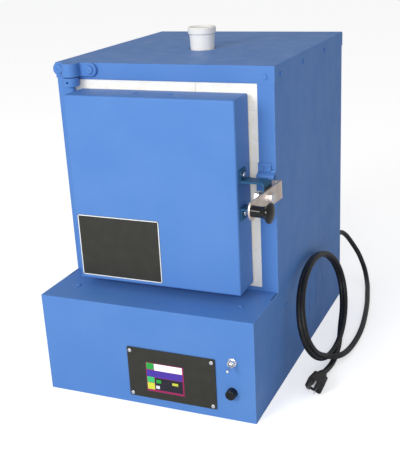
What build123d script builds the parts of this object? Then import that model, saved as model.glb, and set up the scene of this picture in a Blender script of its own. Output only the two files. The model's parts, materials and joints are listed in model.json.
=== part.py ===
from build123d import *
import os
from math import cos, radians, sin, tan

# Front-loading electric kiln, in millimetres.
# X runs to the kiln's right, Y from its front to its back, Z up.
# The origin is on the floor, midway between the sides, in the plane of the base's front panel.

# Driving sizes
case_width = 394.0
case_front = 125.2
base_height = 183.3
chamber_depth = 300.0
chamber_height = 240.9
brick = 63.5
sheet = 1.2
seam = 0.1

# Firing chamber
roof_thickness = 42.7
brick_joint = 0.3
blanket = 25.0
brick_half = case_width / 2 - blanket - 4.0
chamber_half = brick_half - brick
brick_bottom = base_height + 7.3
chamber_floor = brick_bottom + brick
chamber_roof = chamber_floor + chamber_height
chamber_middle = (chamber_floor + chamber_roof) / 2
brick_top = chamber_roof + roof_thickness
chamber_rear = case_front + chamber_depth
brick_rear = chamber_rear + brick_joint + brick

# Case
case_rear = brick_rear + blanket + 34.8
case_top = brick_top + 28.4
side_inner = case_width / 2 - sheet
panel_half = side_inner - seam
deck_bend = 2.0
lid_flange = 26.2
lid_half = case_width / 2 + seam + sheet
lid_front = case_front - seam - sheet
lid_rear = case_rear + seam + sheet
lid_under = case_top - sheet

# Heating elements, one winding back and forth along each side wall
element_rod = 6.5
element_groove = 9.0
element_pitch = 50.0
element_rows = 4
element_front = case_front + 22.0
element_back = chamber_rear - 20.0
element_tail = brick_rear + 34.0
element_bend = 6.0

# Vent in the lid and roof, closed by a ceramic plug
vent_x = 3.5
vent_y = case_front + 174.8
vent_lid_hole = 50.0
vent_bore = 34.0
plug_top = 51.0
plug_foot = 43.0
plug_height = 39.0
plug_rim = 13.0
plug_gap = 0.3
roof_seam_x = vent_x + 59.1

# Door and its hinge
hinge_x = 37.0 - case_width / 2
hinge_y = case_front - 15.2
door_left = hinge_x + 13.5
door_right = case_width / 2 - 42.2
door_width = door_right - door_left
door_bottom = base_height + 16.8
door_top = chamber_roof + 28.9
door_height = door_top - door_bottom
door_front = case_front - 67.7
door_back = case_front - 7.9
door_depth = door_back - door_front
door_brick_proud = case_front - 0.6 - door_back
shaft = 12.7
shaft_fit = 0.05
shaft_bottom = base_height - 15.3
shaft_top = case_top + 1.0
collar_outer = 27.0
collar_height = 14.6
collar_gap = 1.8
barrel_outer = 28.0
barrel_bottom = case_top - 21.0
ear_length = 84.0
ear_offset = 2.8
ear_height = 22.8
ear_thickness = 6.0
ear_z = case_top - 10.7
ear_screw_spacing = 59.0

# Latch: the lever lies in a plane toed out from the door's side, so that its tail clears the case
toe_out = 6.5
pivot_x = case_width / 2 + 5.8
pivot_y = case_front - 46.2
pivot_z = door_bottom + 167.7
lever_thickness = 3.0
lever_height = 30.0
lever_front = 67.6
lever_nose = 7.0
lever_tail = 43.8
lever_tilt = 2.2
strap_width = 25.4
strap_thickness = 3.0
strap_top = pivot_z + 27.0
strap_bottom = pivot_z - 21.8
strap_bend = 6.0
pad_thickness = 2.0
tail_front = case_front - 5.7
tail_inner = case_width / 2 - 6.0
bolt = 9.5
bolt_across_flats = 14.3
bolt_head = 5.5
knob_from_pivot = 64.0
knob_root = 18.6
knob_disc = 32.0
knob_length = 33.5
keeper_lip = case_front - 12.3
keeper_sheet = 2.5

# Controls on the front panel
toggle_x = case_width / 2 - 38.5
toggle_z = 109.2
toggle_bushing = 11.9
toggle_pivot_y = -6.5
toggle_tilt = 18.0
fuse_x = case_width / 2 - 40.7
fuse_z = 52.3
fuse_body = 12.7
fuse_cap = 17.5
plate_right = toggle_x - 30.6
plate_width = 162.1
plate_left = plate_right - plate_width
plate_bottom = 15.4
plate_height = 93.7
plate_thickness = 2.0
plate_screw_inset = 6.0
screen_width = 70.0
screen_height = 55.2
screen_left = plate_left + 34.2
screen_bottom = plate_bottom + 14.2

# Power cord
cord = 10.6
gland_x = case_width / 2 - 17.0
gland_z = 124.0
gland_bore = 15.8
loop_x = case_width / 2 + 30.6
loop_y = case_rear - 262.4
loop_half_length = 138.0
loop_half_height = 91.3
loop_lean = 14.5

# Fasteners
small_screw = 4.0
small_head = 8.0
small_head_height = 2.2

os.makedirs("parts", exist_ok=True)


def upright(x, y, z):
    """A location whose own Z axis is the object's Z axis."""
    return Location((x, y, z))


def facing_front(x, y, z):
    """A location whose own Z axis points to the front, -Y."""
    return Location((x, y, z), (90, 0, 0))


def facing_right(x, y, z):
    """A location whose own Z axis points to the right, +X."""
    return Location((x, y, z), (0, 90, 0))


def facing_left(x, y, z):
    """A location whose own Z axis points to the left, -X."""
    return Location((x, y, z), (0, -90, 0))


def facing_back(x, y, z):
    """A location whose own Z axis points to the back, +Y."""
    return Location((x, y, z), (-90, 0, 0))


def pan_head_screws(places, shank_length, head=small_head, height=small_head_height, shank=small_screw):
    """Pan head screws whose heads stand out along the own Z of each place."""
    with BuildPart() as screws:
        with Locations(*places):
            Cylinder(head / 2, height, align=(Align.CENTER, Align.CENTER, Align.MIN))
        fillet(screws.faces().filter_by(GeomType.PLANE).edges().filter_by(GeomType.CIRCLE), height * 0.4)
        with Locations(*places):
            Cylinder(shank / 2, shank_length, align=(Align.CENTER, Align.CENTER, Align.MAX))
    return screws


# Rows of screw places that the panels and the screws share
lid_screw_z = case_top - 17.1
lid_side_rows = [case_front + 27.8, vent_y - 21.0, case_rear - 134.8]
lid_screw_places = [facing_front(case_width / 2 - 15.0, lid_front, lid_screw_z)]
lid_screw_places += [facing_right(lid_half, y, lid_screw_z) for y in lid_side_rows]
lid_screw_places += [facing_left(-lid_half, y, lid_screw_z) for y in lid_side_rows]
lid_screw_places += [facing_back(side * (case_width / 2 - 47.0), lid_rear, lid_screw_z) for side in (-1, 1)]
side_screw_y = case_front + 40.3
side_screw_z = base_height - 40.3
side_screw_places = [facing_right(case_width / 2, side_screw_y, side_screw_z),
                     facing_left(-case_width / 2, side_screw_y, side_screw_z)]
deck_screw_places = [upright(side * (case_width / 2 - 42.6), case_front - 69.9, base_height) for side in (-1, 1)]
screw_reach = 8.0

slot_width = 2.6
slot_height = 70.0
slot_bottom = 59.5
slot_pitch = 45.0
slot_rows = [case_rear - 146.8 - slot_pitch * row for row in range(4)]

# Side panels: an L in side view, with a row of cooling slots low down
with BuildPart() as right_side_panel:
    with BuildSketch(Plane.YZ.offset(side_inner)):
        with BuildLine():
            Polyline((0, 0), (case_rear, 0), (case_rear, lid_under - seam), (case_front, lid_under - seam),
                     (case_front, base_height), (0, base_height), close=True)
        make_face()
    extrude(amount=sheet)
    outer = right_side_panel.edges().filter_by(Axis.Z).group_by(Axis.X)[-1]
    fillet(outer.sort_by(Axis.Y)[0:2], sheet * 0.8)
    with BuildSketch(Plane.YZ.offset(side_inner)):
        with Locations(*[(y, slot_bottom + slot_height / 2) for y in slot_rows]):
            SlotOverall(slot_height, slot_width, rotation=90)
    extrude(amount=sheet, mode=Mode.SUBTRACT)
    with Locations(*lid_screw_places, *side_screw_places):
        Cylinder(small_screw / 2, 2 * screw_reach, mode=Mode.SUBTRACT)

with BuildPart() as left_side_panel:
    mirror(right_side_panel.part, about=Plane.YZ)

# Rear panel with the cord's hole and cooling slots
rear_slot_pitch = 30.0
rear_slots = [rear_slot_pitch * column for column in range(-3, 4)]
with BuildPart() as rear_panel:
    with BuildSketch(Plane.XZ.offset(-case_rear)):
        with Locations((0, (lid_under - seam) / 2)):
            Rectangle(2 * panel_half, lid_under - seam)
        with Locations((gland_x, gland_z)):
            Circle(gland_bore / 2 + seam, mode=Mode.SUBTRACT)
        with Locations(*[(x, slot_bottom + slot_height / 2) for x in rear_slots]):
            SlotOverall(slot_height, slot_width, rotation=90, mode=Mode.SUBTRACT)
    extrude(amount=sheet)
    with Locations(*lid_screw_places):
        Cylinder(small_screw / 2, 2 * screw_reach, mode=Mode.SUBTRACT)

# Base cover: front panel and deck folded from one sheet
relief = 1.9
relief_length = 33.0
window_margin = 22.0
with BuildPart() as base_cover:
    with BuildSketch(Plane.YZ.offset(-panel_half)):
        with BuildLine():
            Polyline((0, 0), (0, base_height), (case_front - seam, base_height),
                     (case_front - seam, base_height - sheet), (sheet, base_height - sheet), (sheet, 0),
                     close=True)
        make_face()
    extrude(amount=2 * panel_half)
    bend = base_cover.edges().filter_by(Axis.X)
    fillet(bend.filter_by_position(Axis.Y, -0.1, 0.1).sort_by(Axis.Z)[-1], deck_bend)
    inner_bend = base_cover.edges().filter_by(Axis.X).filter_by_position(Axis.Y, sheet - 0.01, sheet + 0.01)
    fillet(inner_bend.sort_by(Axis.Z)[-1], deck_bend - sheet)
    with Locations((plate_left + plate_width / 2, 0, plate_bottom + plate_height / 2)):
        Box(plate_width - window_margin, 4 * sheet, plate_height - window_margin, mode=Mode.SUBTRACT)
    with Locations(facing_front(toggle_x, 0, toggle_z)):
        Cylinder(toggle_bushing / 2 + seam, 4 * sheet, mode=Mode.SUBTRACT)
    with Locations(facing_front(fuse_x, 0, fuse_z)):
        Cylinder(fuse_body / 2 + seam, 4 * sheet, mode=Mode.SUBTRACT)
    with Locations((hinge_x, hinge_y, base_height)):
        Cylinder(shaft / 2 + 3.2, 4 * sheet, mode=Mode.SUBTRACT)
    with Locations((panel_half, case_front, base_height), (-panel_half, case_front, base_height)):
        Box(2 * relief, 2 * relief_length, 4 * sheet, mode=Mode.SUBTRACT)
    with Locations(*deck_screw_places):
        Cylinder(small_screw / 2, 2 * screw_reach, mode=Mode.SUBTRACT)

# Bottom plate, on which the kiln stands
with BuildPart() as bottom_plate:
    with BuildSketch(Plane.XY):
        with Locations((0, (case_rear + sheet) / 2)):
            Rectangle(2 * panel_half, case_rear - 2 * sheet - sheet)
        with Locations((0, case_rear * 0.55)):
            with GridLocations(45, 60, 7, 4):
                Circle(6, mode=Mode.SUBTRACT)
    extrude(amount=sheet)

# Shelf that carries the bricks
shelf_front = case_front + sheet + 0.2
shelf_rear = case_rear - sheet - 0.2
shelf_lip = 14.0
with BuildPart() as chamber_shelf:
    with BuildSketch(Plane.XZ.offset(-shelf_front)):
        with BuildLine():
            Polyline((-panel_half, brick_bottom), (panel_half, brick_bottom),
                     (panel_half, brick_bottom - shelf_lip), (panel_half - sheet, brick_bottom - shelf_lip),
                     (panel_half - sheet, brick_bottom - sheet), (sheet - panel_half, brick_bottom - sheet),
                     (sheet - panel_half, brick_bottom - shelf_lip), (-panel_half, brick_bottom - shelf_lip),
                     close=True)
        make_face()
    extrude(amount=shelf_front - shelf_rear)

# Front frame around the bricks
frame_bottom = base_height - 12.0
frame_top = lid_under - seam
with BuildPart() as front_frame:
    with BuildSketch(Plane.XZ.offset(-case_front)):
        with Locations((0, (frame_top + frame_bottom) / 2)):
            Rectangle(2 * panel_half, frame_top - frame_bottom)
        with Locations((0, (brick_top + brick_bottom) / 2)):
            Rectangle(2 * (brick_half + 0.3), brick_top - brick_bottom + 0.6, mode=Mode.SUBTRACT)
    extrude(amount=-sheet)
    with Locations(lid_screw_places[0]):
        Cylinder(small_screw / 2, 2 * screw_reach, mode=Mode.SUBTRACT)

# Lid cover, a shallow tray turned over the top of the case
with BuildPart() as lid_cover:
    with Locations((0, (lid_front + lid_rear) / 2, case_top)):
        Box(2 * lid_half, lid_rear - lid_front, lid_flange, align=(Align.CENTER, Align.CENTER, Align.MAX))
    fillet(lid_cover.edges().filter_by(Axis.Z), 1.6)
    fillet(lid_cover.faces().sort_by(Axis.Z)[-1].edges(), 1.6)
    with Locations((0, (lid_front + lid_rear) / 2, lid_under)):
        Box(2 * (lid_half - sheet), lid_rear - lid_front - 2 * sheet, lid_flange,
            align=(Align.CENTER, Align.CENTER, Align.MAX), mode=Mode.SUBTRACT)
    with Locations((vent_x, vent_y, case_top)):
        Cylinder(vent_lid_hole / 2, 4 * sheet, mode=Mode.SUBTRACT)
    with Locations(*lid_screw_places):
        Cylinder(small_screw / 2, 2 * screw_reach, mode=Mode.SUBTRACT)

panel_screws = pan_head_screws(lid_screw_places + side_screw_places + deck_screw_places, 5.0)

# Bricks of the firing chamber
wall_bottom = chamber_floor + brick_joint
wall_height = chamber_roof - brick_joint - wall_bottom
with BuildPart() as floor_brick:
    with Locations((0, case_front, brick_bottom)):
        Box(2 * brick_half, brick_rear - case_front, brick, align=(Align.CENTER, Align.MIN, Align.MIN))

with BuildPart() as roof_brick_left:
    with Locations((-brick_half, case_front, chamber_roof)):
        Box(brick_half + roof_seam_x - brick_joint, brick_rear - case_front, roof_thickness,
            align=(Align.MIN, Align.MIN, Align.MIN))
    with Locations((vent_x, vent_y, chamber_roof)):
        Cylinder(vent_bore / 2, 4 * roof_thickness, mode=Mode.SUBTRACT)

with BuildPart() as roof_brick_right:
    with Locations((roof_seam_x + brick_joint, case_front, chamber_roof)):
        Box(brick_half - roof_seam_x - brick_joint, brick_rear - case_front, roof_thickness,
            align=(Align.MIN, Align.MIN, Align.MIN))

# The element's rows, counted from the lowest
first_row = chamber_middle - element_pitch * (element_rows - 1) / 2
row_heights = [first_row + element_pitch * row for row in range(element_rows)]
groove_depth = 10.0
element_x = chamber_half + groove_depth / 2
with BuildPart() as right_wall_brick:
    with Locations((chamber_half, case_front, wall_bottom)):
        Box(brick, chamber_depth, wall_height, align=(Align.MIN, Align.MIN, Align.MIN))
    with Locations(*[(chamber_half, element_front - element_groove / 2, z) for z in row_heights]):
        Box(groove_depth, chamber_depth, element_groove, align=(Align.MIN, Align.MIN, Align.CENTER),
            mode=Mode.SUBTRACT)
    for row in range(element_rows - 1):
        turn_y = element_front if row % 2 == 0 else element_back
        with Locations((chamber_half, turn_y, row_heights[row])):
            Box(groove_depth, element_groove, element_pitch, align=(Align.MIN, Align.CENTER, Align.MIN),
                mode=Mode.SUBTRACT)

with BuildPart() as left_wall_brick:
    mirror(right_wall_brick.part, about=Plane.YZ)

tail_places = [(side * element_x, z) for side in (-1, 1) for z in (row_heights[0], row_heights[-1])]
probe_z = chamber_roof - 45.0
probe = 6.4
probe_length = 136.0
probe_tip = 30.0
probe_head = (28.0, 12.0, 18.0)
with BuildPart() as rear_wall_brick:
    with Locations((0, chamber_rear + brick_joint, wall_bottom)):
        Box(2 * brick_half, brick, wall_height, align=(Align.CENTER, Align.MIN, Align.MIN))
    with Locations(*[facing_front(x, brick_rear, z) for x, z in tail_places]):
        Cylinder(element_groove / 2, 4 * brick, mode=Mode.SUBTRACT)
    with Locations(facing_front(0, brick_rear, probe_z)):
        Cylinder(probe / 2 + 0.3, 4 * brick, mode=Mode.SUBTRACT)

# Ceramic fibre between the bricks and the case
with BuildPart() as right_blanket:
    with Locations((brick_half + brick_joint, shelf_front, brick_bottom)):
        Box(panel_half - brick_half - 2 * brick_joint, shelf_rear - shelf_front, brick_top - brick_bottom,
            align=(Align.MIN, Align.MIN, Align.MIN))

with BuildPart() as left_blanket:
    mirror(right_blanket.part, about=Plane.YZ)

screw_clearance = 8.0
with BuildPart() as top_blanket:
    with Locations((0, (shelf_front + shelf_rear) / 2, brick_top + brick_joint)):
        Box(2 * (panel_half - screw_clearance), shelf_rear - shelf_front - 2 * screw_clearance,
            lid_under - brick_top - 2 * brick_joint, align=(Align.CENTER, Align.CENTER, Align.MIN))
    with Locations((vent_x, vent_y, brick_top)):
        Cylinder(vent_lid_hole / 2, 200, mode=Mode.SUBTRACT)

with BuildPart() as rear_blanket:
    with Locations((0, brick_rear + brick_joint, brick_bottom)):
        Box(2 * brick_half, blanket, brick_top - brick_bottom, align=(Align.CENTER, Align.MIN, Align.MIN))
    with Locations(*[facing_front(x, brick_rear, z) for x, z in tail_places]):
        Cylinder(element_groove / 2, 4 * brick, mode=Mode.SUBTRACT)
    with Locations(facing_front(0, brick_rear, probe_z)):
        Cylinder(probe / 2 + 0.3, 4 * brick, mode=Mode.SUBTRACT)

# Heating elements: closed rods of the coiled wire's outer shape
element_route = [(element_x, element_tail, row_heights[0])]
for row, z in enumerate(row_heights):
    first_y, last_y = (element_back, element_front) if row % 2 == 0 else (element_front, element_back)
    if row > 0:
        element_route.append((element_x, first_y, z))
    if row < element_rows - 1:
        element_route.append((element_x, last_y, z))
element_route.append((element_x, element_tail, row_heights[-1]))
with BuildPart() as right_element:
    with BuildLine() as element_path:
        FilletPolyline(*element_route, radius=element_bend)
    with BuildSketch(Plane(element_path.line @ 0, z_dir=element_path.line % 0)):
        Circle(element_rod / 2)
    sweep()

with BuildPart() as left_element:
    mirror(right_element.part, about=Plane.YZ)

# Thermocouple in its sheath, with its ceramic head behind the bricks
with BuildPart() as thermocouple:
    with Locations(facing_back(0, chamber_rear - probe_tip, probe_z)):
        Cylinder(probe / 2, probe_length, align=(Align.CENTER, Align.CENTER, Align.MIN))
    with Locations((0, chamber_rear - probe_tip + probe_length, probe_z)):
        Box(*probe_head, align=(Align.CENTER, Align.MIN, Align.CENTER))

# Upper hinge bearing: two-bolt block on the lid's flange
ear_middle = hinge_x + ear_offset
ear_screw_places = [facing_front(ear_middle + side * ear_screw_spacing / 2, lid_front - ear_thickness, ear_z)
                    for side in (-1, 1)]
with BuildPart() as upper_bearing:
    with BuildSketch(Plane.XZ.offset(-lid_front)):
        with Locations((ear_middle, ear_z)):
            SlotOverall(ear_length, ear_height)
    extrude(amount=ear_thickness)
    top_edges = upper_bearing.faces().sort_by(Axis.Y)[0].edges()
    fillet(top_edges, 1.2)
    with Locations((hinge_x, hinge_y, barrel_bottom)):
        Cylinder(barrel_outer / 2, shaft_top - barrel_bottom, align=(Align.CENTER, Align.CENTER, Align.MIN))
    with Locations((hinge_x, lid_front, barrel_bottom)):
        Box(barrel_outer, lid_front - hinge_y, shaft_top - barrel_bottom,
            align=(Align.CENTER, Align.MAX, Align.MIN))
    with Locations((hinge_x, lid_front, case_top)):
        Box(2 * barrel_outer, barrel_outer, 4 * barrel_outer, align=(Align.CENTER, Align.MIN, Align.CENTER),
            mode=Mode.SUBTRACT)
    with Locations((hinge_x, hinge_y, barrel_bottom)):
        Cylinder(barrel_outer / 2, 2 * barrel_outer, align=(Align.CENTER, Align.CENTER, Align.MAX),
                 mode=Mode.SUBTRACT)
    with Locations((hinge_x, hinge_y, barrel_bottom)):
        Cylinder(shaft / 2 + shaft_fit, 8 * barrel_outer, mode=Mode.SUBTRACT)
    with Locations(*ear_screw_places):
        Cylinder(2.5, 60, mode=Mode.SUBTRACT)

# Round slotted heads of the bearing's two screws
ear_screw_head = 15.0
with BuildPart() as bearing_screws:
    with Locations(*ear_screw_places):
        Cylinder(ear_screw_head / 2, 3.4, align=(Align.CENTER, Align.CENTER, Align.MIN))
    fillet(bearing_screws.edges().filter_by(GeomType.CIRCLE).group_by(Axis.Y)[0], 2.0)
    with Locations(*[place * Location((0, 0, 3.4), (0, 0, -40)) for place in ear_screw_places]):
        Box(ear_screw_head, 1.8, 2.4, mode=Mode.SUBTRACT)
    with Locations(*ear_screw_places):
        Cylinder(2.5, 12.0, align=(Align.CENTER, Align.CENTER, Align.MAX))

# The lid, frame and blanket make room for the bearing's screws
with BuildPart() as lid_cover_drilled:
    add(lid_cover.part)
    with Locations(*ear_screw_places):
        Cylinder(2.5, 60, mode=Mode.SUBTRACT)
with BuildPart() as front_frame_drilled:
    add(front_frame.part)
    with Locations(*ear_screw_places):
        Cylinder(2.5, 60, mode=Mode.SUBTRACT)

# Lower hinge bearing: flanged bush in the deck
bush_flange = 2.6
with BuildPart() as lower_bearing:
    with Locations((hinge_x, hinge_y, base_height)):
        Cylinder(14.0, bush_flange, align=(Align.CENTER, Align.CENTER, Align.MIN))
        Cylinder(shaft / 2 + 3.1, base_height - shaft_bottom, align=(Align.CENTER, Align.CENTER, Align.MAX))
    fillet(lower_bearing.edges().filter_by(GeomType.CIRCLE).group_by(Axis.Z)[-1], 0.8)
    with Locations((hinge_x, hinge_y, base_height)):
        Cylinder(shaft / 2 + shaft_fit, 200, mode=Mode.SUBTRACT)

# Hinge shaft and its two set collars
with BuildPart() as hinge_shaft:
    with Locations((hinge_x, hinge_y, shaft_bottom)):
        Cylinder(shaft / 2, shaft_top - shaft_bottom - 0.4, align=(Align.CENTER, Align.CENTER, Align.MIN))
    chamfer(hinge_shaft.edges().filter_by(GeomType.CIRCLE), 0.8)

collar_places = [base_height + bush_flange + shaft_fit, barrel_bottom - collar_gap - collar_height]
with BuildPart() as set_collars:
    with Locations(*[(hinge_x, hinge_y, z) for z in collar_places]):
        Cylinder(collar_outer / 2, collar_height, align=(Align.CENTER, Align.CENTER, Align.MIN))
    chamfer(set_collars.edges().filter_by(GeomType.CIRCLE), 0.6)
    with Locations(*[(hinge_x, hinge_y, z) for z in collar_places]):
        Cylinder(shaft / 2, 3 * collar_height, mode=Mode.SUBTRACT)
    with Locations(*[facing_front(hinge_x, hinge_y - shaft / 2 - 1, z + collar_height / 2)
                     for z in collar_places]):
        Cylinder(2.2, 20, align=(Align.CENTER, Align.CENTER, Align.MIN), mode=Mode.SUBTRACT)

# Door pan, open to the back
pan_bend = 3.0
with BuildPart() as door_pan:
    with Locations((door_left, door_front, door_bottom)):
        Box(door_width, door_depth, door_height, align=(Align.MIN, Align.MIN, Align.MIN))
    fillet(door_pan.edges().filter_by(Axis.Y), pan_bend)
    fillet(door_pan.faces().sort_by(Axis.Y)[0].edges(), pan_bend)
    with Locations((door_left + sheet, door_front + sheet, door_bottom + sheet)):
        Box(door_width - 2 * sheet, door_depth, door_height - 2 * sheet,
            align=(Align.MIN, Align.MIN, Align.MIN), mode=Mode.SUBTRACT)

# Brick that fills the pan and closes the chamber, with screws through the pan's flanges
plug_inset = 14.0
brick_screw_y = door_front + 35.0
brick_screw_x = [door_left + 116.1, door_left + 178.5]
brick_screw_places = [upright(x, brick_screw_y, door_top) for x in brick_screw_x]
brick_screw_places += [Location((x, brick_screw_y, door_bottom), (180, 0, 0)) for x in brick_screw_x]
bracket_screw_z = [pivot_z - 28.8, pivot_z + 34.2]
bracket_face = door_right + strap_thickness
bracket_screw_places = [facing_right(bracket_face, pivot_y, z) for z in bracket_screw_z]
with BuildPart() as door_brick:
    with Locations((door_left + sheet + seam, door_front + sheet + seam, door_bottom + sheet + seam)):
        Box(door_width - 2 * (sheet + seam), door_depth - sheet - seam, door_height - 2 * (sheet + seam),
            align=(Align.MIN, Align.MIN, Align.MIN))
    with Locations((door_left + plug_inset, door_back, door_bottom + plug_inset)):
        Box(door_width - 2 * plug_inset, door_brick_proud, door_height - 2 * plug_inset,
            align=(Align.MIN, Align.MIN, Align.MIN))
    with Locations(*brick_screw_places):
        Cylinder(small_screw / 2, 40, mode=Mode.SUBTRACT)
    with Locations(*bracket_screw_places):
        Cylinder(small_screw / 2, 40, mode=Mode.SUBTRACT)

door_brick_screws = pan_head_screws(brick_screw_places, 18.0, head=9.0, height=1.2)

# Brackets that join the shaft to the pan's left side
bracket_height = 30.0
bracket_z = [door_bottom + 40.0, door_top - 40.0 - bracket_height]
with BuildPart() as shaft_brackets:
    with Locations(*[(door_left - seam, hinge_y - 3, z) for z in bracket_z]):
        Box(door_left - seam - hinge_x, 18.0, bracket_height, align=(Align.MAX, Align.CENTER, Align.MIN))
    with Locations(*[(hinge_x, hinge_y, z) for z in bracket_z]):
        Cylinder(shaft / 2 + 4, bracket_height, align=(Align.CENTER, Align.CENTER, Align.MIN))
        Cylinder(shaft / 2, 4 * bracket_height, mode=Mode.SUBTRACT)

with BuildPart() as door_pan_drilled:
    add(door_pan.part)
    with Locations(*brick_screw_places, *bracket_screw_places):
        Cylinder(small_screw / 2, 40, mode=Mode.SUBTRACT)

# Blank notice plate on the door
notice_left = door_left + 4.5
notice_width = 155.0
notice_bottom = door_bottom + 6.4
notice_height = 111.5
with BuildPart() as notice_plate:
    with BuildSketch(Plane.XZ.offset(-door_front)):
        with Locations((notice_left + notice_width / 2, notice_bottom + notice_height / 2)):
            RectangleRounded(notice_width, notice_height, 2.5)
    extrude(amount=0.6)

# Latch plane: x runs along the lever to its tail, y up, z out of its outer face
tail_way = (sin(radians(toe_out)), cos(radians(toe_out)), 0)
latch_out = (cos(radians(toe_out)), -sin(radians(toe_out)), 0)
latch = Plane(origin=(pivot_x, pivot_y, pivot_z), x_dir=tail_way, z_dir=latch_out)
strap_outer = -lever_thickness - pad_thickness
strap_inner = strap_outer - strap_thickness


def bracket_reach(y):
    """X of the strap's inner face at a given Y, where the toed-out strap meets its legs."""
    return pivot_x + (strap_inner + 0.5) / cos(radians(toe_out)) + (y - pivot_y) * tan(radians(toe_out))


upper_flange = 20.0
lower_flange = 21.0
strap_front = pivot_y - strap_width / 2
strap_back = pivot_y + strap_width / 2
with BuildPart() as latch_bracket:
    for leg_top in (strap_top, strap_bottom + strap_thickness):
        with BuildSketch(Plane.XY.offset(leg_top)):
            with BuildLine():
                Polyline((door_right, strap_front), (bracket_reach(strap_front), strap_front),
                         (bracket_reach(strap_back), strap_back), (door_right, strap_back), close=True)
            make_face()
        extrude(amount=-strap_thickness)
    with BuildSketch(latch.offset(strap_inner)):
        with Locations((0, (strap_top + strap_bottom) / 2 - pivot_z)):
            Rectangle(strap_width / cos(radians(toe_out)), strap_top - strap_bottom)
    extrude(amount=strap_thickness)
    with Locations((door_right, pivot_y, strap_top - strap_thickness)):
        Box(strap_thickness, strap_width, upper_flange, align=(Align.MIN, Align.CENTER, Align.MIN))
    with Locations((door_right, pivot_y, strap_bottom + strap_thickness)):
        Box(strap_thickness, strap_width, lower_flange, align=(Align.MIN, Align.CENTER, Align.MAX))
    bends = latch_bracket.edges().filter_by(Axis((0, 0, 0), tail_way))
    outer_bends = bends.sort_by(Axis((0, 0, 0), latch_out))[-2:].sort_by(Axis.Z)
    fillet(outer_bends[-1], strap_bend)
    with Locations(*bracket_screw_places):
        Cylinder(small_screw / 2, 40, mode=Mode.SUBTRACT)
    with BuildSketch(latch):
        Circle(bolt / 2)
    extrude(amount=-20, mode=Mode.SUBTRACT)

bracket_screws = pan_head_screws(bracket_screw_places, 16.0, head=9.5, height=3.0)

with BuildPart() as latch_pad:
    with BuildSketch(latch.offset(-lever_thickness)):
        Rectangle(strap_width, lever_height + 5.0)
        Circle(bolt / 2, mode=Mode.SUBTRACT)
    extrude(amount=-pad_thickness)

bolt_end = strap_inner - 19.0
with BuildPart() as latch_bolt:
    with BuildSketch(latch.offset(0.2)):
        RegularPolygon(bolt_across_flats / 2, 6, major_radius=False, rotation=15)
    extrude(amount=bolt_head)
    chamfer(latch_bolt.faces().sort_by(Axis.X)[-1].edges(), 0.6)
    with BuildSketch(latch.offset(0.2)):
        Circle(bolt / 2 - 0.05)
    extrude(amount=bolt_end)

with BuildPart() as latch_nut:
    with BuildSketch(latch.offset(bolt_end + 1.0)):
        RegularPolygon(bolt_across_flats / 2, 6, major_radius=False, rotation=15)
        Circle(bolt / 2, mode=Mode.SUBTRACT)
    extrude(amount=8.0)
    with BuildSketch(latch.offset(bolt_end + 9.0)):
        Circle(9.5)
        Circle(bolt / 2, mode=Mode.SUBTRACT)
    extrude(amount=1.6)

spring_length = strap_inner - (bolt_end + 10.6)
with BuildPart() as latch_spring:
    with BuildSketch(latch.offset(strap_inner)):
        Circle(8.0)
        Circle(bolt / 2, mode=Mode.SUBTRACT)
    extrude(amount=-spring_length)

# Lever with its tail turned inward behind the keeper, made level and then tilted about its pivot
knob_bore = 4.0
latch_axis = Axis((pivot_x, pivot_y, pivot_z), latch_out)
with BuildPart() as level_lever:
    with BuildSketch(latch):
        with BuildLine():
            half = lever_height / 2
            Polyline((-lever_front, -half), (lever_tail, -half), (lever_tail, half), (-lever_front, half))
            ThreePointArc((-lever_front, half), (-lever_front - lever_nose, 0), (-lever_front, -half))
        make_face()
        Circle(bolt / 2, mode=Mode.SUBTRACT)
        with Locations((-knob_from_pivot, 0)):
            Circle(knob_bore / 2, mode=Mode.SUBTRACT)
    extrude(amount=-lever_thickness)
    tail_outer = pivot_x + lever_tail * sin(radians(toe_out))
    with Locations((tail_inner, tail_front, pivot_z)):
        Box(tail_outer - tail_inner, lever_thickness, lever_height,
            align=(Align.MIN, Align.MIN, Align.CENTER))
with BuildPart() as latch_lever:
    add(level_lever.part.rotate(latch_axis, lever_tilt))

# Knob: a waisted grip that flares to a domed disc, with a stud headed over behind the lever
knob_foot = Vector(pivot_x, pivot_y, pivot_z) - Vector(tail_way) * knob_from_pivot
knob_waist = 17.8
knob_rim = 2.4
knob_flare = 12.0
rim_start = knob_length - knob_rim - 3.5
stud_head = 1.6
with BuildPart() as knob_turned:
    with BuildSketch(Plane.XZ):
        with BuildLine():
            Polyline((0, knob_length), (0, -lever_thickness - stud_head),
                     (knob_bore, -lever_thickness - stud_head), (knob_bore, -lever_thickness),
                     (knob_bore / 2, -lever_thickness), (knob_bore / 2, 0), (knob_root / 2, 0),
                     (knob_root / 2, 1.5), (knob_waist / 2, 4.0), (knob_waist / 2, rim_start - knob_flare))
            ThreePointArc((knob_waist / 2, rim_start - knob_flare),
                          (knob_waist / 2 + knob_flare * 0.28, rim_start - knob_flare * 0.3),
                          (knob_disc / 2, rim_start))
            Line((knob_disc / 2, rim_start), (knob_disc / 2, rim_start + knob_rim))
            TangentArc((0, knob_length), (knob_disc / 2, rim_start + knob_rim), tangent=(1, 0))
        make_face()
    revolve(axis=Axis.Z)
with BuildPart() as latch_knob:
    level_knob = knob_turned.part.moved(Plane(origin=knob_foot, x_dir=tail_way, z_dir=latch_out).location)
    add(level_knob.rotate(latch_axis, lever_tilt))

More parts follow.
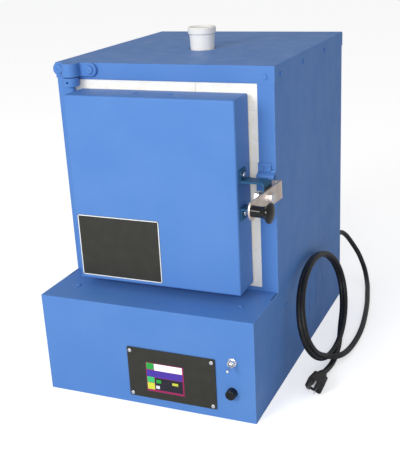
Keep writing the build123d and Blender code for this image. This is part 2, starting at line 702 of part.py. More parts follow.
# Keeper: plate on the frame that slopes forward to a lip, whose right part is a hook over the lever's tail
keeper_left = case_width / 2 - 29.8
keeper_right = case_width / 2 - 7.7
keeper_top = pivot_z + 42.6
slope_top = pivot_z + 29.0
slope_bottom = pivot_z + 24.5
slope_shift = 1.6
keeper_foot = pivot_z - 5.0
hook_right = case_width / 2 - 0.5
hook_bottom = pivot_z + lever_height / 2 + 3.4
with BuildPart() as keeper_plate:
    with BuildSketch(Plane.YZ.offset(keeper_left)):
        with BuildLine():
            Polyline((case_front, keeper_top), (case_front - keeper_sheet, keeper_top),
                     (case_front - keeper_sheet, slope_top), (keeper_lip, slope_bottom),
                     (keeper_lip, hook_bottom), (keeper_lip + keeper_sheet, hook_bottom),
                     (keeper_lip + keeper_sheet, slope_bottom - slope_shift),
                     (case_front, slope_top - slope_shift), close=True)
        make_face()
    extrude(amount=hook_right - keeper_left)
    fillet(keeper_plate.edges().filter_by(Axis.X).filter_by_position(Axis.Z, slope_bottom, slope_top), keeper_sheet)
    with Locations((keeper_right, case_front, keeper_top)):
        Box(case_width, 2 * keeper_sheet, keeper_top - slope_top, align=(Align.MIN, Align.CENTER, Align.MAX),
            mode=Mode.SUBTRACT)
    with Locations((keeper_left, keeper_lip, keeper_foot)):
        Box(tail_inner - 2.5 - keeper_left, keeper_sheet, hook_bottom - keeper_foot,
            align=(Align.MIN, Align.MIN, Align.MIN))
    keeper_screw_places = [facing_front(x, case_front - keeper_sheet, keeper_top - 8.7)
                           for x in (keeper_left + 6.0, keeper_right - 3.6)]
    with Locations(*keeper_screw_places):
        Cylinder(small_screw / 2, 40, mode=Mode.SUBTRACT)

keeper_screws = pan_head_screws(keeper_screw_places, 3.8, head=9.0, height=2.6)
with BuildPart() as front_frame_finished:
    add(front_frame_drilled.part)
    with Locations(*keeper_screw_places):
        Cylinder(small_screw / 2, 12, mode=Mode.SUBTRACT)

# Controller: plate on the front panel, touch screen in its window, circuit board behind
screen_middle = (screen_left + screen_width / 2, screen_bottom + screen_height / 2)
plate_middle = (plate_left + plate_width / 2, plate_bottom + plate_height / 2)
plate_screw_span = (plate_width - 2 * plate_screw_inset, plate_height - 2 * plate_screw_inset)
plate_screw_places = [facing_front(plate_middle[0] + side * plate_screw_span[0] / 2, -plate_thickness,
                                   plate_middle[1] + rise * plate_screw_span[1] / 2)
                      for side in (-1, 1) for rise in (-1, 1)]
with BuildPart() as controller_plate:
    with BuildSketch(Plane.XZ):
        with Locations(plate_middle):
            RectangleRounded(plate_width, plate_height, 2.0)
        with Locations(screen_middle):
            Rectangle(screen_width, screen_height, mode=Mode.SUBTRACT)
    extrude(amount=plate_thickness)
    with Locations(*plate_screw_places):
        Cylinder(1.6, 12, mode=Mode.SUBTRACT)

controller_screws = pan_head_screws(plate_screw_places, 6.0, head=7.0, height=2.2, shank=3.2)
with BuildPart() as base_cover_drilled:
    add(base_cover.part)
    with Locations(*plate_screw_places):
        Cylinder(1.6, 12, mode=Mode.SUBTRACT)

screen_back = 6.0
with BuildPart() as touch_screen:
    with BuildSketch(Plane.XZ.offset(plate_thickness + 0.3)):
        with Locations(screen_middle):
            Rectangle(screen_width - 0.3, screen_height - 0.3)
    extrude(amount=-(plate_thickness + 0.3))
    with BuildSketch(Plane.XZ):
        with Locations(screen_middle):
            Rectangle(screen_width + 8, screen_height + 6)
    extrude(amount=-screen_back)

board = 1.6
with BuildPart() as controller_board:
    with Locations((screen_middle[0] + 12, screen_back + board / 2, screen_middle[1])):
        Box(118, board, 64)
    with Locations((screen_middle[0] - 20, screen_back + board, screen_middle[1]),
                   (screen_middle[0] + 40, screen_back + board, screen_middle[1])):
        Box(22, 12, 30, align=(Align.CENTER, Align.MIN, Align.CENTER))

# Toggle switch: body behind the panel, nut and bat lever in front
toggle_ball = 4.5
toggle_pin = 1.2
toggle_fit = 0.05
with BuildPart() as toggle_body:
    with Locations((toggle_x, sheet + 0.1, toggle_z)):
        Box(14, 22, 28, align=(Align.CENTER, Align.MIN, Align.CENTER))
    with Locations(facing_front(toggle_x, sheet + 0.1, toggle_z)):
        Cylinder(toggle_bushing / 2, 10.5, align=(Align.CENTER, Align.CENTER, Align.MIN))
    with Locations(facing_front(toggle_x, toggle_pivot_y + 6.0, toggle_z)):
        Cylinder(toggle_ball + toggle_fit, 20, align=(Align.CENTER, Align.CENTER, Align.MIN), mode=Mode.SUBTRACT)
    with Locations(facing_right(toggle_x, toggle_pivot_y, toggle_z)):
        Cylinder(toggle_pin + toggle_fit, 2 * toggle_bushing, mode=Mode.SUBTRACT)

with BuildPart() as toggle_nut:
    with BuildSketch(Plane.XZ):
        with Locations((toggle_x, toggle_z)):
            RegularPolygon(7.4, 6, major_radius=False, rotation=10)
            Circle(toggle_bushing / 2, mode=Mode.SUBTRACT)
    extrude(amount=2.6)
    chamfer(toggle_nut.faces().sort_by(Axis.Y)[0].edges().filter_by(GeomType.LINE), 0.5)

bat_length = 17.0
bat_tip = 2.7
bat_way = (0, -cos(radians(toggle_tilt)), -sin(radians(toggle_tilt)))
with BuildPart() as toggle_lever:
    with BuildSketch(Plane(origin=(toggle_x, toggle_pivot_y, toggle_z), z_dir=bat_way)):
        Circle(1.6)
    with BuildSketch(Plane(origin=(toggle_x, toggle_pivot_y, toggle_z), z_dir=bat_way).offset(bat_length)):
        Circle(bat_tip)
    loft()
    with Locations((toggle_x, toggle_pivot_y, toggle_z)):
        Sphere(toggle_ball)
    with Locations(facing_right(toggle_x, toggle_pivot_y, toggle_z)):
        Cylinder(toggle_pin, toggle_bushing - 0.6)
    with Locations(Vector(toggle_x, toggle_pivot_y, toggle_z) + Vector(bat_way) * bat_length):
        Sphere(bat_tip)

# Fuse holder with its pull-out cap
with BuildPart() as fuse_holder:
    with Locations(facing_back(fuse_x, -2.0, fuse_z)):
        Cylinder(fuse_body / 2, 38.0, align=(Align.CENTER, Align.CENTER, Align.MIN))
        Cylinder(4.6, 34.0, align=(Align.CENTER, Align.CENTER, Align.MIN), mode=Mode.SUBTRACT)
    with Locations(facing_front(fuse_x, -seam, fuse_z)):
        Cylinder(9.3, 1.9, align=(Align.CENTER, Align.CENTER, Align.MIN))
        Cylinder(4.6, 6, mode=Mode.SUBTRACT)

with BuildPart() as fuse_cap_and_fuse:
    with Locations(facing_front(fuse_x, -2.3, fuse_z)):
        Cylinder(fuse_cap / 2, 9.7, align=(Align.CENTER, Align.CENTER, Align.MIN))
    fillet(fuse_cap_and_fuse.edges().filter_by(GeomType.CIRCLE).group_by(Axis.Y)[0], 1.6)
    with Locations(facing_front(fuse_x, -12.0, fuse_z)):
        Box(9.0, 1.6, 2.4, mode=Mode.SUBTRACT)
    with Locations(facing_back(fuse_x, -2.3, fuse_z)):
        Cylinder(3.2, 33.0, align=(Align.CENTER, Align.CENTER, Align.MIN))

# Electrics in the base
relay_x = 77.0 - case_width / 2
relay_y = case_front - 35.2
terminals_x = case_width / 2 - 97.0
terminals_y = case_rear - 118.8
relay_body = (58.0, 45.0, 34.0)
relay_tab = (9.0, 7.0, 6.0)
terminal_body = (90.0, 26.0, 16.0)
terminal_pitch = 18.0
with BuildPart() as relay:
    with Locations((relay_x, relay_y, sheet)):
        Box(*relay_body, align=(Align.CENTER, Align.CENTER, Align.MIN))
    with Locations((relay_x, relay_y, sheet + relay_body[2])):
        with GridLocations(relay_body[0] - 2 * relay_tab[0], relay_body[1] - 19.0, 2, 2):
            Box(*relay_tab, align=(Align.CENTER, Align.CENTER, Align.MIN))

with BuildPart() as terminal_block:
    with Locations((terminals_x, terminals_y, sheet)):
        Box(*terminal_body, align=(Align.CENTER, Align.CENTER, Align.MIN))
        with GridLocations(terminal_pitch, 0, 5, 1):
            with Locations((0, 0, terminal_body[2])):
                Cylinder(3.2, 4, align=(Align.CENTER, Align.CENTER, Align.MIN))

# Ceramic vent plug: tapered, with a thick rim and a spigot in the roof's bore
with BuildPart() as vent_plug:
    with BuildSketch(Plane.XZ):
        with BuildLine():
            rim_bottom = case_top + plug_height - plug_rim
            dish = case_top + plug_height - 2.5
            Polyline((0, chamber_roof + 8), (vent_bore / 2 - plug_gap, chamber_roof + 8),
                     (vent_bore / 2 - plug_gap, brick_top + plug_gap),
                     (plug_foot / 2 - 1.5, brick_top + plug_gap), (plug_foot / 2, case_top),
                     (plug_top / 2 - 2.6, rim_bottom), (plug_top / 2 - 0.6, rim_bottom + 2),
                     (plug_top / 2, case_top + plug_height - 1.5), (plug_top / 2 - 1.5, case_top + plug_height),
                     (plug_top / 2 - 5, case_top + plug_height), (plug_top / 2 - 8, dish), (0, dish),
                     close=True)
        make_face()
    revolve(axis=Axis.Z)
vent_plug.part.position = (vent_x, vent_y, 0)

# Cord gland: tapered strain relief on the rear panel
gland_length = 34.0
with BuildPart() as cord_gland:
    with BuildSketch(Plane(origin=(gland_x, case_rear, gland_z), x_dir=(1, 0, 0), z_dir=(0, 0, 1))):
        with BuildLine():
            Polyline((cord / 2, -10), (gland_bore / 2, -10), (gland_bore / 2, 0), (13, 0), (13, 4),
                     (10.5, 5), (7.2, gland_length), (cord / 2, gland_length), close=True)
        make_face()
    revolve(axis=Axis((gland_x, case_rear, gland_z), (0, 1, 0)))

# Cord: from the gland it falls to the floor behind the kiln and runs forward to the coil
exit_y = case_rear + gland_length


def soft_radii(points):
    """The radius of each corner: as large as the shorter of its two runs allows."""
    radii = []
    for before, here, after in zip(points, points[1:], points[2:]):
        first = Vector(*here) - Vector(*before)
        second = Vector(*after) - Vector(*here)
        half_turn = radians(first.get_angle(second)) / 2
        radii.append(0.45 * min(first.length, second.length) / tan(half_turn))
    return radii


def cord_tube(points):
    """A tube of the cord's diameter along straight runs joined by tangent arcs."""
    radii = soft_radii(points)
    with BuildPart() as tube:
        with BuildLine() as way:
            FilletPolyline(*points, radius=radii)
        with BuildSketch(Plane(way.line @ 0, z_dir=way.line % 0)):
            Circle(cord / 2)
        sweep()
    return tube


floor_z = cord / 2 + 0.1
cord_route = [
    (gland_x, exit_y, gland_z),
    (gland_x, exit_y + 16, gland_z),
    (gland_x + 4, exit_y + 36, gland_z - 5),
    (gland_x + 8, exit_y + 54, gland_z - 17),
    (gland_x + 13, exit_y + 68, gland_z - 32),
    (gland_x + 21, exit_y + 76, gland_z - 49),
    (gland_x + 32, exit_y + 78, gland_z - 67),
    (gland_x + 42, exit_y + 73, gland_z - 85),
    (gland_x + 51, exit_y + 63, gland_z - 100),
    (gland_x + 58, exit_y + 48, gland_z - 111),
    (gland_x + 64, exit_y + 30, gland_z - 117),
    (gland_x + 70, exit_y + 8, floor_z),
    (gland_x + 77, exit_y - 25, floor_z),
    (gland_x + 88, exit_y - 76, floor_z),
    (gland_x + 97, exit_y - 135, floor_z),
    (gland_x + 104, exit_y - 194, floor_z),
    (gland_x + 105, exit_y - 251, floor_z),
    (gland_x + 102, exit_y - 298, floor_z + 2),
    (gland_x + 97, exit_y - 332, floor_z + 8),
    (gland_x + 89, exit_y - 350, floor_z + 12),
    (gland_x + 79, exit_y - 361, floor_z + 13),
]
cord_run = cord_tube(cord_route)

# Coil: two turns side by side that lean on the right side, as one closed oval ring
lean = radians(loop_lean)
coil_plane = Plane(origin=(loop_x, loop_y, floor_z + loop_half_height * cos(lean)),
                   x_dir=(0, 1, 0), z_dir=(cos(lean), 0, sin(lean)))
with BuildPart() as cord_coil:
    with BuildSketch(coil_plane.offset(-cord / 2)):
        Ellipse(loop_half_length + cord / 2, loop_half_height + cord / 2)
        Ellipse(loop_half_length - cord / 2, loop_half_height - cord / 2, mode=Mode.SUBTRACT)
    extrude(amount=2 * cord)

# The last stretch leaves the coil's foot, passes under the cord and ends at the plug
lead_x = loop_x + 36.4
lead_start = loop_y - 20.4
lead_route = [
    (lead_x - 1, lead_start, floor_z + 2),
    (lead_x + 0.5, lead_start - 22, floor_z),
    (lead_x, lead_start - 45, floor_z),
    (lead_x - 1, lead_start - 68, floor_z + 3),
    (lead_x - 2, lead_start - 94, floor_z + 8.5),
]
lead_run = cord_tube(lead_route)

# Both stretches end where they meet the coil
with BuildPart() as power_cord:
    add(cord_run.part)
    add(cord_coil.part, mode=Mode.SUBTRACT)
with BuildPart() as plug_lead:
    add(lead_run.part)
    add(cord_coil.part, mode=Mode.SUBTRACT)

# Plug, lying a little rolled, with a ground pin and two blades, one of them turned
plug_width = 31.0
plug_depth = 23.0
plug_neck = 22.0
plug_body = 29.0
plug_roll = radians(-22.0)
plug_plane = Plane(origin=lead_route[-1], x_dir=(cos(plug_roll), 0, sin(plug_roll)), z_dir=(-0.01, -1, 0.08))
blade_spacing = 12.7
blade = (1.6, 6.8)
with BuildPart() as power_plug:
    with BuildSketch(plug_plane):
        Circle(cord / 2 + 2)
    with BuildSketch(plug_plane.offset(plug_neck)):
        RectangleRounded(plug_width - 8, plug_depth - 5, 5)
    loft()
    with BuildSketch(plug_plane.offset(plug_neck)):
        RectangleRounded(plug_width - 4, plug_depth - 2, 4)
    with BuildSketch(plug_plane.offset(plug_neck + plug_body)):
        RectangleRounded(plug_width, plug_depth, 4)
    loft()
    add(lead_run.part, mode=Mode.SUBTRACT)
with BuildPart() as plug_pins:
    with BuildSketch(plug_plane.offset(plug_neck + plug_body)):
        with Locations((-blade_spacing / 2 - 0.6, -4.5)):
            Rectangle(blade[1], blade[0])
        with Locations((blade_spacing / 2 - 0.6, -4.5)):
            Rectangle(blade[0], blade[1])
    extrude(amount=16)
    with BuildSketch(plug_plane.offset(plug_neck + plug_body)):
        with Locations((-0.6, 7.2)):
            Circle(2.4)
    extrude(amount=19)

pieces = {
    "base_cover": base_cover_drilled,
    "left_side_panel": left_side_panel,
    "right_side_panel": right_side_panel,
    "rear_panel": rear_panel,
    "bottom_plate": bottom_plate,
    "chamber_shelf": chamber_shelf,
    "front_frame": front_frame_finished,
    "lid_cover": lid_cover_drilled,
    "panel_screws": panel_screws,
    "floor_brick": floor_brick,
    "roof_brick_left": roof_brick_left,
    "roof_brick_right": roof_brick_right,
    "left_wall_brick": left_wall_brick,
    "right_wall_brick": right_wall_brick,
    "rear_wall_brick": rear_wall_brick,
    "left_blanket": left_blanket,
    "right_blanket": right_blanket,
    "top_blanket": top_blanket,
    "rear_blanket": rear_blanket,
    "left_element": left_element,
    "right_element": right_element,
    "thermocouple": thermocouple,
    "upper_bearing": upper_bearing,
    "bearing_screws": bearing_screws,
    "lower_bearing": lower_bearing,
    "keeper_plate": keeper_plate,
    "keeper_screws": keeper_screws,
    "controller_plate": controller_plate,
    "controller_screws": controller_screws,
    "touch_screen": touch_screen,
    "controller_board": controller_board,
    "toggle_body": toggle_body,
    "toggle_nut": toggle_nut,
    "fuse_holder": fuse_holder,
    "relay": relay,
    "terminal_block": terminal_block,
    "cord_gland": cord_gland,
    "power_cord": power_cord,
    "cord_coil": cord_coil,
    "plug_lead": plug_lead,
    "power_plug": power_plug,
    "plug_pins": plug_pins,
    "door_pan": door_pan_drilled,
    "door_brick": door_brick,
    "door_brick_screws": door_brick_screws,
    "hinge_shaft": hinge_shaft,
    "set_collars": set_collars,
    "shaft_brackets": shaft_brackets,
    "notice_plate": notice_plate,
    "latch_bracket": latch_bracket,
    "bracket_screws": bracket_screws,
    "latch_pad": latch_pad,
    "latch_bolt": latch_bolt,
    "latch_nut": latch_nut,
    "latch_spring": latch_spring,
    "latch_lever": latch_lever,
    "latch_knob": latch_knob,
    "vent_plug": vent_plug,
    "toggle_lever": toggle_lever,
    "fuse_cap": fuse_cap_and_fuse,
}
for name, piece in pieces.items():
    piece.part.label = name
    export_step(piece.part, f"parts/{name}.step")
print(len(pieces), "pieces")
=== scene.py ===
import json
from math import cos, pi, radians, sin

import bmesh
import bpy
from mathutils import Matrix, Vector


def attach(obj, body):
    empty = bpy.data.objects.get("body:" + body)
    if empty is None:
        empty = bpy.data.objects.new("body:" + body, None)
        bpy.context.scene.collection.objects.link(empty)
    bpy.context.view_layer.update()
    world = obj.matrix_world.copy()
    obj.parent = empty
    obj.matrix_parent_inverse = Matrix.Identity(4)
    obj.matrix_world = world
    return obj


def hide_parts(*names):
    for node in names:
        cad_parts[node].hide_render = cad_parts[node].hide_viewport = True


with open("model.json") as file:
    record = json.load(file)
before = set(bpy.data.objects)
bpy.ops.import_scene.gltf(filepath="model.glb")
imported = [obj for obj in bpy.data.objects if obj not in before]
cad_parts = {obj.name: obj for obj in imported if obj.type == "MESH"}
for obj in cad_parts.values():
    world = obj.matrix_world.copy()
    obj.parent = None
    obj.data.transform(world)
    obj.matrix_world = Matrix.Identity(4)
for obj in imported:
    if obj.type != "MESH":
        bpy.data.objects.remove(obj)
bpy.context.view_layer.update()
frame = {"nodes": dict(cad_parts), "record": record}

scene = bpy.context.scene
nodes = frame["nodes"]
mm = 0.001


# Camera, fitted to the photograph

camera_place = Vector((615.2, -1121.4, 770.4)) * mm
camera_yaw = radians(23.29)
camera_pitch = radians(20.45)
camera_roll = radians(-2.753)
picture = (400, 450)
focal = 842.33
axis_pixel = (211.91, 241.76)
sensor = 36.0


def add_camera():
    back = Vector((sin(camera_yaw) * cos(camera_pitch), -cos(camera_yaw) * cos(camera_pitch), sin(camera_pitch)))
    right = (-back).cross(Vector((0, 0, 1))).normalized()
    up = right.cross(-back)
    level, lean = cos(camera_roll), sin(camera_roll)
    across = right * level + up * lean
    upward = up * level - right * lean
    data = bpy.data.cameras.new("camera")
    data.sensor_width = sensor
    data.lens = focal / max(picture) * sensor
    data.shift_x = (picture[0] / 2 - axis_pixel[0]) / max(picture)
    data.shift_y = (axis_pixel[1] - picture[1] / 2) / max(picture)
    camera = bpy.data.objects.new("camera", data)
    turn = Matrix((across, upward, back)).transposed()
    camera.matrix_world = Matrix.Translation(camera_place) @ turn.to_4x4()
    scene.collection.objects.link(camera)
    scene.camera = camera


add_camera()


# Materials

def linear(red, green, blue):
    """A colour given as 0 to 255 screen values, in Blender's linear values."""
    return [(v / 255 / 12.92 if v <= 10 else ((v / 255 + 0.055) / 1.055) ** 2.4) for v in (red, green, blue)] + [1.0]


class Finish:
    """A material whose nodes are added one at a time."""

    def __init__(self, name, colour, roughness, metallic=0.0, coat=0.0, specular=0.5):
        self.material = bpy.data.materials.new(name)
        self.material.use_nodes = True
        self.tree = self.material.node_tree
        self.shader = self.tree.nodes["Principled BSDF"]
        self.colour = linear(*colour)
        self.shader.inputs["Base Color"].default_value = self.colour
        self.shader.inputs["Roughness"].default_value = roughness
        self.shader.inputs["Metallic"].default_value = metallic
        self.shader.inputs["Coat Weight"].default_value = coat
        self.shader.inputs["Specular IOR Level"].default_value = specular
        self.place = self.node("ShaderNodeTexCoord").outputs["Object"]

    def node(self, kind, **settings):
        made = self.tree.nodes.new(kind)
        for name, value in settings.items():
            setattr(made, name, value)
        return made

    def link(self, source, target):
        self.tree.links.new(source, target)

    def noise(self, scale, detail=4.0, stretch=(1, 1, 1)):
        """Noise whose grain is scale per metre, stretched along the axes."""
        mapping = self.node("ShaderNodeMapping")
        mapping.inputs["Scale"].default_value = stretch
        self.link(self.place, mapping.inputs["Vector"])
        texture = self.node("ShaderNodeTexNoise")
        texture.inputs["Scale"].default_value = scale
        texture.inputs["Detail"].default_value = detail
        self.link(mapping.outputs["Vector"], texture.inputs["Vector"])
        return texture.outputs["Fac"]

    def spread(self, value, low, high, start=0.3, stop=0.7):
        """Value between start and stop becomes low to high."""
        ramp = self.node("ShaderNodeMapRange")
        for name, number in zip(("From Min", "From Max", "To Min", "To Max"), (start, stop, low, high)):
            ramp.inputs[name].default_value = number
        self.link(value, ramp.inputs["Value"])
        return ramp.outputs["Result"]

    def uneven_gloss(self, scale, low, high, **more):
        self.link(self.spread(self.noise(scale, **more), low, high), self.shader.inputs["Roughness"])
        return self

    def bumps(self, scale, height, detail=4.0, stretch=(1, 1, 1), soft=1.0):
        bump = self.node("ShaderNodeBump")
        bump.inputs["Distance"].default_value = height
        bump.inputs["Strength"].default_value = soft
        self.link(self.noise(scale, detail, stretch), bump.inputs["Height"])
        last = self.shader.inputs["Normal"].links
        if last:
            self.link(last[0].from_socket, bump.inputs["Normal"])
        self.link(bump.outputs["Normal"], self.shader.inputs["Normal"])
        return self

    def tint(self, factor, colour):
        """Blends the colour in where factor is 1."""
        mix = self.node("ShaderNodeMix", data_type="RGBA")
        mix.inputs[6].default_value = self.colour
        last = self.shader.inputs["Base Color"].links
        if last:
            self.link(last[0].from_socket, mix.inputs[6])
        mix.inputs[7].default_value = linear(*colour)
        self.link(factor, mix.inputs[0])
        self.link(mix.outputs[2], self.shader.inputs["Base Color"])
        return self

    def mottled(self, scale, colour, most, start=0.4, stop=0.7):
        return self.tint(self.spread(self.noise(scale), 0.0, most, start, stop), colour)

    def edge_wear_and_highlight(self, colour, width, most):
        """Edges show the colour, where a rounded normal departs from the face's own. The lighter edge colour is
        partly edge wear and partly a painted highlight.
        """
        bevel = self.node("ShaderNodeBevel", samples=6)
        bevel.inputs["Radius"].default_value = width
        face = self.node("ShaderNodeNewGeometry")
        dot = self.node("ShaderNodeVectorMath", operation="DOT_PRODUCT")
        self.link(bevel.outputs["Normal"], dot.inputs[0])
        self.link(face.outputs["Normal"], dot.inputs[1])
        edge = self.spread(dot.outputs["Value"], most, 0.0, 0.8, 0.98)
        patchy = self.node("ShaderNodeMath", operation="MULTIPLY")
        self.link(edge, patchy.inputs[0])
        self.link(self.spread(self.noise(160), 0.0, 1.0, 0.35, 0.6), patchy.inputs[1])
        return self.tint(patchy.outputs["Value"], colour)


def glossy_paint(name, colour, light):
    paint = Finish(name, colour, 0.45, coat=0.02, specular=0.16)
    paint.shader.inputs["Coat Roughness"].default_value = 0.2
    # The lighter colour mottles the paint at random and also paints a highlight along every edge.
    paint.mottled(9, light, 0.08).edge_wear_and_highlight(light, 0.0012, 0.6)
    return paint.uneven_gloss(30, 0.4, 0.52).bumps(520, 0.00004).bumps(14, 0.0002, detail=2.0)


def metal(name, colour, low, high, grain=(1, 1, 1), bump=0.00003):
    made = Finish(name, colour, low, metallic=1.0)
    made.mottled(60, [v * 0.8 for v in colour], 0.4).edge_wear_and_highlight([min(255, v * 1.2) for v in colour], 0.0006, 0.5)
    return made.uneven_gloss(300, low, high, stretch=grain).bumps(700, bump, stretch=grain)


paints = {
    # The second colour of each paint is its lighter blue: a random mottle and a painted edge highlight.
    "painted_blue_steel": glossy_paint("blue_paint", (82, 128, 194), (140, 178, 224)),
    "painted_dark_blue": glossy_paint("dark_blue_paint", (34, 82, 120), (96, 150, 186)),
    "galvanised_steel": metal("galvanised", (168, 172, 176), 0.35, 0.55),
    "bright_steel": metal("bright_steel", (238, 238, 240), 0.18, 0.34),
    "plated_steel": metal("zinc_plate", (232, 218, 208), 0.36, 0.5, grain=(1, 0.1, 1)),
    "heating_wire": metal("heating_wire", (112, 100, 90), 0.5, 0.7),
}

firebrick = Finish("firebrick", (250, 248, 242), 0.9, specular=0.2)
firebrick.mottled(40, (240, 236, 224), 0.5).mottled(220, (226, 218, 204), 0.35, 0.55, 0.75)
firebrick.uneven_gloss(80, 0.82, 0.97).bumps(900, 0.0006).bumps(240, 0.0008, detail=6.0)
paints["firebrick"] = firebrick

fibre = Finish("ceramic_fibre", (240, 238, 230), 0.95, specular=0.1)
fibre.mottled(30, (226, 222, 210), 0.5).bumps(300, 0.0015, stretch=(1, 3, 1)).uneven_gloss(90, 0.9, 1.0)
paints["ceramic_fibre"] = fibre

glaze = Finish("white_ceramic", (246, 243, 238), 0.3, coat=0.25)
glaze.mottled(60, (232, 227, 219), 0.5).mottled(500, (214, 205, 194), 0.4, 0.62, 0.75)
glaze.uneven_gloss(120, 0.24, 0.5).bumps(260, 0.00025).bumps(900, 0.00008)
paints["glazed_white_ceramic"] = glaze

dark_plate = Finish("dark_plate", (46, 46, 40), 0.38, specular=0.3)
dark_plate.mottled(50, (56, 56, 50), 0.5).edge_wear_and_highlight((120, 118, 110), 0.0006, 0.5)
dark_plate.uneven_gloss(200, 0.32, 0.46).bumps(1500, 0.00003)
paints["dark_plate"] = dark_plate

screen_glass = Finish("screen_glass", (158, 28, 88), 0.08)
screen_glass.mottled(30, (140, 24, 96), 0.5).uneven_gloss(60, 0.06, 0.12).bumps(40, 0.00003)
paints["screen_glass"] = screen_glass

board_green = Finish("circuit_board", (31, 107, 58), 0.4)
board_green.mottled(400, (22, 84, 44), 0.7).uneven_gloss(200, 0.3, 0.5).bumps(700, 0.0001)
paints["circuit_board"] = board_green

black_plastic = Finish("black_plastic", (10, 10, 11), 0.16, coat=0.1, specular=0.35)
black_plastic.mottled(200, (18, 18, 20), 0.6).edge_wear_and_highlight((60, 60, 64), 0.0008, 0.4)
black_plastic.uneven_gloss(90, 0.12, 0.26).bumps(400, 0.00004)
paints["black_plastic"] = black_plastic

black_rubber = Finish("black_rubber", (17, 17, 19), 0.42, specular=0.4)
black_rubber.mottled(120, (34, 34, 37), 0.7).uneven_gloss(220, 0.36, 0.54).bumps(900, 0.00008)
paints["black_rubber"] = black_rubber

for part in frame["record"]["subparts"]:
    node = nodes[part["node"]]
    node.data.materials.clear()
    node.data.materials.append(paints[part["material_slot"]].material)


# Power cord: one line from its gland over the floor, round the coil and on to the plug

cord = 10.6
gland = Vector((180.0, 582.8, 124.0))
floor_z = cord / 2 + 0.1
loop_centre = (227.6, 286.4)
loop_half_length = 138.0
loop_half_height = 91.3
loop_lean = radians(14.5)
cord_falls = [(0, 0, 0), (0, 16, 0), (4, 36, -5), (8, 54, -17), (13, 68, -32), (21, 76, -49), (32, 78, -67),
              (42, 73, -85), (51, 63, -100), (58, 48, -111), (64, 30, -117)]
cord_lies = [(70, 8, 0), (77, -25, 0), (88, -76, 0), (97, -135, 0), (104, -194, 0), (105, -251, 0),
             (102, -298, 2), (97, -332, 8), (89, -350, 12)]
lead_start = (264.0, 266.0)
lead_lies = [(0.5, -22, 0), (0, -45, 0), (-1, -68, 3), (-2, -94, 8.5)]
points_per_turn = 16


def on_loop(turn_angle, out, size):
    """A point of the leaning coil: the angle counts from its foot, towards the front and up."""
    along = -loop_half_length * size * sin(turn_angle)
    rise = loop_half_height * (1 - size * cos(turn_angle))
    x = loop_centre[0] + (loop_half_height - rise) * sin(loop_lean) + out * cos(loop_lean)
    z = floor_z + rise * cos(loop_lean) + out * sin(loop_lean)
    return x, loop_centre[1] + along, z


def cord_line():
    points = [gland + Vector(step) for step in cord_falls]
    points += [(gland.x + x, gland.y + y, floor_z + rise) for x, y, rise in cord_lies]
    first, last = radians(34), radians(690)
    count = round((last - first) / (2 * pi) * points_per_turn)
    for step in range(count + 1):
        share = step / count
        size = 1.0 - 0.05 * max(0.0, 1 - share * 6)
        points.append(on_loop(first + (last - first) * share, cord * (1 - share), size))
    points += [(loop_centre[0] + 31, loop_centre[1] + 18, floor_z)]
    points += [(lead_start[0] + x, lead_start[1] + y, floor_z + rise) for x, y, rise in lead_lies]
    return [Vector(point) * mm for point in points]


def add_cord():
    data = bpy.data.curves.new("power_cord_line", "CURVE")
    data.dimensions = "3D"
    data.bevel_depth = cord / 2 * mm
    data.bevel_resolution = 5
    data.use_fill_caps = True
    data.resolution_u = 6
    line = data.splines.new("NURBS")
    points = cord_line()
    line.points.add(len(points) - 1)
    for point, place in zip(line.points, points):
        point.co = (*place, 1)
    line.order_u = 3
    line.use_endpoint_u = True
    made = bpy.data.objects.new("power_cord_line", data)
    scene.collection.objects.link(made)
    data.materials.append(black_rubber.material)
    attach(made, "case")
    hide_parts("power_cord", "cord_coil", "plug_lead")


add_cord()


# Small pieces that only the scene has

def add_piece(name, mesh, paint, body):
    made = bpy.data.objects.new(name, mesh)
    scene.collection.objects.link(made)
    mesh.materials.append(paint.material)
    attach(made, body)
    return made


def slab(name, low, high, round_off):
    """A box between two corners, in millimetres, with rounded edges."""
    form = bmesh.new()
    bmesh.ops.create_cube(form, size=1.0)
    size = Vector(high) - Vector(low)
    middle = (Vector(high) + Vector(low)) / 2
    for corner in form.verts:
        corner.co = Vector([corner.co[i] * size[i] + middle[i] for i in range(3)]) * mm
    bmesh.ops.bevel(form, geom=form.edges[:], offset=round_off * mm, segments=2, affect="EDGES")
    mesh = bpy.data.meshes.new(name)
    form.to_mesh(mesh)
    form.free()
    return mesh


def glow(name, colour, strength=0.25):
    lit = Finish(name, colour, 0.15)
    lit.shader.inputs["Emission Color"].default_value = linear(*colour)
    lit.shader.inputs["Emission Strength"].default_value = strength
    lit.mottled(80, [v * 0.85 for v in colour], 0.4).uneven_gloss(90, 0.1, 0.2).bumps(60, 0.00002)
    return lit


screen_left = 0.0
screen_bottom = 29.6
screen_front = -2.3
screen_parts = [
    ("screen_bar", (15.5, 41.5, 52, 12.5), (236, 238, 242)),
    ("screen_band", (1.2, 28.2, 66.3, 12.8), (66, 44, 150)),
    ("screen_lower", (15.5, 4, 52, 23.6), (24, 20, 34)),
    ("screen_key_upper", (1.2, 42.5, 13.5, 11.8), (30, 150, 60)),
    ("screen_key_middle", (1.2, 17.2, 13.5, 10.8), (50, 176, 100)),
    ("screen_key_lower", (1.2, 4, 13.5, 12.4), (196, 204, 60)),
    ("screen_mark_green", (18, 17.5, 9, 6.5), (30, 150, 50)),
    ("screen_mark_white", (17, 6.5, 7, 6), (210, 214, 232)),
    ("screen_mark_yellow", (48, 17.5, 11, 5), (190, 190, 60)),
]
for order, (name, (left, bottom, width, height), colour) in enumerate(screen_parts):
    front = screen_front - 0.12 - 0.05 * (order > 2)
    low = (screen_left + left, front, screen_bottom + bottom)
    high = (screen_left + left + width, screen_front + 0.02, screen_bottom + bottom + height)
    add_piece(name, slab(name, low, high, 0.05), glow(name, colour), "case")

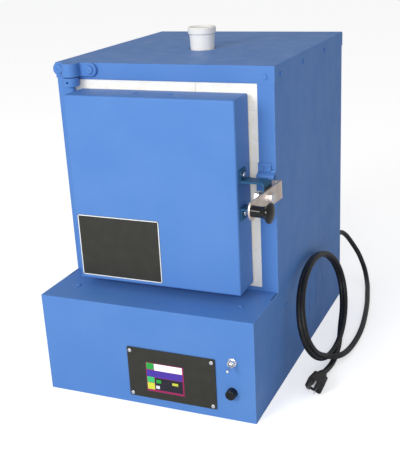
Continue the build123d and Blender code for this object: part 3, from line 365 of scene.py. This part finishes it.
border = Finish("notice_line", (238, 240, 242), 0.4)
border.mottled(100, (190, 192, 192), 0.4).uneven_gloss(150, 0.35, 0.5).bumps(600, 0.00003)
notice_front = 56.9
line_low = (-141.7, 206.8)
line_high = (12.7, 317.7)
line_width = 1.6
line_depth = (notice_front - 0.1, notice_front + 0.02)
line_round = 0.03
notice_lines = {
    "notice_line_left": (line_low, (line_low[0] + line_width, line_high[1])),
    "notice_line_right": ((line_high[0] - line_width, line_low[1]), line_high),
    "notice_line_bottom": (line_low, (line_high[0], line_low[1] + line_width)),
    "notice_line_top": ((line_low[0], line_high[1] - line_width), line_high),
}
for name, ((left, bottom), (right, top)) in notice_lines.items():
    mesh = slab(name, (left, line_depth[0], bottom), (right, line_depth[1], top), line_round)
    add_piece(name, mesh, border, "door")


# Floor, world and lamps

floor_reach = 12.0
floor_drop = 0.0005
floor_glow = 0.52
world_light = 0.5


def add_floor():
    form = bmesh.new()
    bmesh.ops.create_grid(form, x_segments=1, y_segments=1, size=floor_reach)
    mesh = bpy.data.meshes.new("floor")
    form.to_mesh(mesh)
    form.free()
    floor = bpy.data.objects.new("floor", mesh)
    floor.location.z = -floor_drop
    scene.collection.objects.link(floor)
    material = bpy.data.materials.new("floor")
    material.use_nodes = True
    tree = material.node_tree
    shader = tree.nodes["Principled BSDF"]
    shader.inputs["Base Color"].default_value = (0.82, 0.82, 0.83, 1)
    shader.inputs["Roughness"].default_value = 0.9
    shader.inputs["Specular IOR Level"].default_value = 0.1
    light_path = tree.nodes.new("ShaderNodeLightPath")
    strength = tree.nodes.new("ShaderNodeMath")
    strength.operation = "MULTIPLY"
    strength.inputs[1].default_value = floor_glow
    tree.links.new(light_path.outputs["Is Camera Ray"], strength.inputs[0])
    shader.inputs["Emission Color"].default_value = (1, 1, 1, 1)
    tree.links.new(strength.outputs["Value"], shader.inputs["Emission Strength"])
    mesh.materials.append(material)


def add_world():
    world = bpy.data.worlds.new("world")
    scene.world = world
    world.use_nodes = True
    tree = world.node_tree
    background = tree.nodes["Background"]
    background.inputs["Color"].default_value = (1, 1, 1, 1)
    light_path = tree.nodes.new("ShaderNodeLightPath")
    seen = tree.nodes.new("ShaderNodeMath")
    seen.operation = "MAXIMUM"
    tree.links.new(light_path.outputs["Is Camera Ray"], seen.inputs[0])
    tree.links.new(light_path.outputs["Is Transmission Ray"], seen.inputs[1])
    strength = tree.nodes.new("ShaderNodeMapRange")
    strength.inputs["To Min"].default_value = world_light
    strength.inputs["To Max"].default_value = 1.0
    tree.links.new(seen.outputs["Value"], strength.inputs["Value"])
    tree.links.new(strength.outputs["Result"], background.inputs["Strength"])


def add_lamp(name, place, target, size, power):
    data = bpy.data.lights.new(name, "AREA")
    data.shape = "DISK"
    data.size = size
    data.energy = power
    lamp = bpy.data.objects.new(name, data)
    lamp.location = place
    lamp.rotation_euler = (Vector(target) - Vector(place)).to_track_quat("-Z", "Y").to_euler()
    scene.collection.objects.link(lamp)


add_floor()
add_world()
add_lamp("key", (-0.9, -2.6, 1.6), (0, 0.1, 0.3), 1.4, 50)
add_lamp("fill", (0.9, -2.6, 1.1), (0, 0.1, 0.3), 1.4, 26)
scene.view_settings.view_transform = "Standard"
